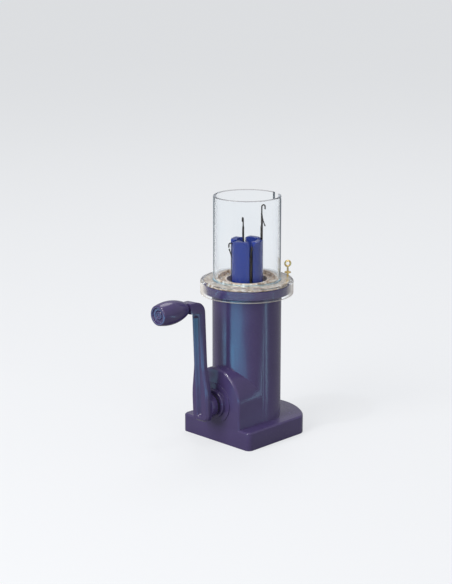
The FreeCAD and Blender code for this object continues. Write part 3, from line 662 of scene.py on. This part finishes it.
def needle_blade(foot, axle):
    """The flat steel of a needle, from the height of its foot to above the axle of its latch."""
    butt_low = foot + 6.8
    butt_high = foot + 9.2
    wire_back = hook_place - hook_wire
    corners = [(needle_back, foot, 0.5), (needle_foot, foot, 0.8), (needle_foot, butt_low),
               (needle_butt, butt_low, 0.2), (needle_butt, butt_high, 0.2), (needle_foot, butt_high),
               (needle_foot, foot + 13.0, 0.8), (needle_front, foot + 15.0, 2.0),
               (needle_front, axle + 0.8, 0.5), (hook_place + 0.3, axle + 3.4),
               (wire_back, axle + 3.4), (wire_back, axle - 4.0, 1.5), (needle_back, axle - 5.5, 1.5)]
    return stamped("blade", corners, needle_thickness, 0.12)


def latch_blade():
    """A closed latch that points up from its eye at the origin, with its spoon."""
    corners = [(-latch_eye, -0.6, 0.55), (latch_eye, -0.6, 0.55), (latch_eye, 0.4, 0.3),
               (latch_neck, 1.3, 0.5), (latch_tip, latch_length), (-latch_tip, latch_length),
               (-latch_neck, 1.3, 0.5), (-latch_eye, 0.4, 0.3)]
    blade = stamped("blade", corners, latch_thickness, 0.06)
    bpy.ops.object.select_all(action="DESELECT")
    bpy.ops.mesh.primitive_uv_sphere_add(segments=20, ring_count=10, radius=spoon_radius * mm,
                                         location=(0, 0, spoon_place * mm))
    spoon = bpy.context.object
    spoon.scale = spoon_shape
    bpy.ops.object.shade_smooth()
    placed(spoon, spoon.location, spoon.rotation_euler)
    return [blade, spoon]


for number in range(1, 5):
    pivot = joint_places["latch_%d_swing" % number]
    turn = math.atan2(pivot.y, pivot.x)
    arm = math.hypot(pivot.x, pivot.y)
    axle = pivot.z / mm
    low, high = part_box("needle_%d" % number)
    blade = needle_blade(low.z / mm, axle)
    cut_away(blade, block((slot_place * mm, 0, axle * mm), slot_sides))
    bend_height = high.z / mm - hook_bend - hook_wire
    wire = bent_hook("wire", hook_place, axle + 2.2, bend_height, hook_bend, hook_tip)
    needle = joined("needle_%d_steel" % number, [blade, wire])
    placed(needle, (0, 0, 0), (0, 0, turn))
    finished(needle, needle_steel, "needle_body_%d" % number, "needle_steel", "needle_%d" % number)

    low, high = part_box("latch_%d" % number)
    swing = latch_closed if (low + high).z / 2 > pivot.z else latch_open
    latch = joined("latch_%d_steel" % number, latch_blade())
    placed(latch, (arm, 0, pivot.z), (0, swing, 0))
    placed(latch, (0, 0, 0), (0, 0, turn))
    finished(latch, needle_steel, "latch_body_%d" % number, "needle_steel", "latch_%d" % number)
    worn(needle_steel, "latch_pin_%d" % number)


# The studio: a pale floor under a pale sky, soft lamps, blue light strips
# that the glossy plastic mirrors, and the camera at the photograph's angle.

floor_paint = Finish("floor_paint", Roughness=1.0, Specular_IOR_Level=0.0, Emission_Strength=1.0)
floor_grey = (0.27, 0.275, 0.285, 1)
floor_shade = (0.255, 0.26, 0.27, 1)
floor_glow = (0.60, 0.61, 0.62, 1)
floor_cloud = floor_paint.speckle(0.25, 1.0)
floor_paint.drive("Base Color", floor_paint.blend(floor_cloud * 0.4, floor_grey, floor_shade))
seen = floor_paint.ray("Is Camera Ray") + floor_paint.ray("Is Transmission Ray")
glow = seen + floor_paint.ray("Is Glossy Ray") * 0.15
floor_paint.drive("Emission Color", floor_paint.blend(glow, (0, 0, 0, 1), floor_glow))
bpy.ops.object.select_all(action="DESELECT")
bpy.ops.mesh.primitive_plane_add(size=24, location=(0, 0, -0.2 * mm))
floor = bpy.context.object
floor.name = "floor"
floor.data.materials.append(floor_paint.material)

world = bpy.data.worlds.new("room")
bpy.context.scene.world = world
world.use_nodes = True
backdrop = world.node_tree.nodes["Background"]
backdrop.inputs["Color"].default_value = (0.95, 0.96, 1.0, 1)
backdrop.inputs["Strength"].default_value = 0.46

camera_azimuth = math.radians(43.6)
camera_distance = 0.951
camera_height = 0.335
aim_left = 0.0134
aim_height = 0.0937
focal_share = 1526 / 452
to_camera = Vector((math.sin(camera_azimuth), -math.cos(camera_azimuth), 0))
to_right = Vector((math.cos(camera_azimuth), math.sin(camera_azimuth), 0))
lit_point = Vector((0, 0, 0.08))


def bearing(turn):
    """The level direction at this angle in degrees to the right of the camera."""
    angle = math.radians(turn)
    return to_camera * math.cos(angle) + to_right * math.sin(angle)


def area_light(name, width, length, watts, colour):
    """A light that isn't seen through the clear cover."""
    data = bpy.data.lights.new(name, "AREA")
    data.shape = "RECTANGLE"
    data.size = width
    data.size_y = length
    data.energy = watts
    data.color = colour
    made = bpy.data.objects.new(name, data)
    bpy.context.scene.collection.objects.link(made)
    made.visible_transmission = False
    return made


def lamp(name, turn, distance, height, width, length, watts, colour):
    """A soft box at an angle to the right of the camera, aimed at the mill."""
    made = area_light(name, width, length, watts, colour)
    made.location = bearing(turn) * distance + Vector((0, 0, height))
    made.rotation_euler = (lit_point - made.location).to_track_quat("-Z", "Y").to_euler()


def strip_on_table(name, turn, width, near, far, watts, colour):
    """A light strip that lies on the table and points away from the mill, mirrored in its upright walls."""
    made = area_light(name, width, far - near, watts, colour)
    away = bearing(turn)
    made.location = away * (near + far) / 2 + Vector((0, 0, 2 * mm))
    made.rotation_euler = (math.pi, 0, math.atan2(away.y, away.x) - math.pi / 2)
    made.visible_diffuse = False


white = (1.0, 1.0, 1.0)
sky_blue = (0.12, 0.66, 1.0)
lamp("key", turn=-45, distance=1.1, height=0.70, width=0.8, length=0.6, watts=10.0, colour=(1.0, 0.98, 0.96))
lamp("fill", turn=35, distance=1.3, height=0.75, width=0.8, length=0.6, watts=3.0, colour=(1.0, 0.97, 0.98))
lamp("back", turn=170, distance=0.75, height=1.25, width=0.6, length=0.6, watts=3.6, colour=(1.0, 0.98, 0.98))
lamp("spark", turn=-50, distance=0.75, height=1.10, width=0.05, length=0.05, watts=2.0, colour=white)
lamp("top", turn=4, distance=0.24, height=1.10, width=0.08, length=0.08, watts=0.8, colour=white)
strip_on_table("left_card", turn=-28, width=0.70, near=0.26, far=0.75, watts=3.0, colour=sky_blue)
strip_on_table("left_card_half", turn=-34, width=0.40, near=0.20, far=0.70, watts=1.7, colour=sky_blue)
strip_on_table("left_card_middle", turn=-37, width=0.18, near=0.18, far=0.60, watts=0.60, colour=sky_blue)
strip_on_table("front_card", turn=-73, width=0.12, near=0.24, far=0.60, watts=0.29, colour=(0.25, 0.65, 1.0))
strip_on_table("right_card", turn=66, width=0.022, near=0.15, far=0.50, watts=0.09, colour=(0.40, 0.80, 1.0))

camera_data = bpy.data.cameras.new("camera")
camera_data.sensor_fit = "HORIZONTAL"
camera_data.lens = camera_data.sensor_width * focal_share
camera = bpy.data.objects.new("camera", camera_data)
bpy.context.scene.collection.objects.link(camera)
camera.location = to_camera * camera_distance + Vector((0, 0, camera_height))
aim_point = to_right * -aim_left + Vector((0, 0, aim_height))
camera.rotation_euler = (aim_point - camera.location).to_track_quat("-Z", "Y").to_euler()
bpy.context.scene.camera = camera
bpy.context.scene.view_settings.view_transform = "Standard"
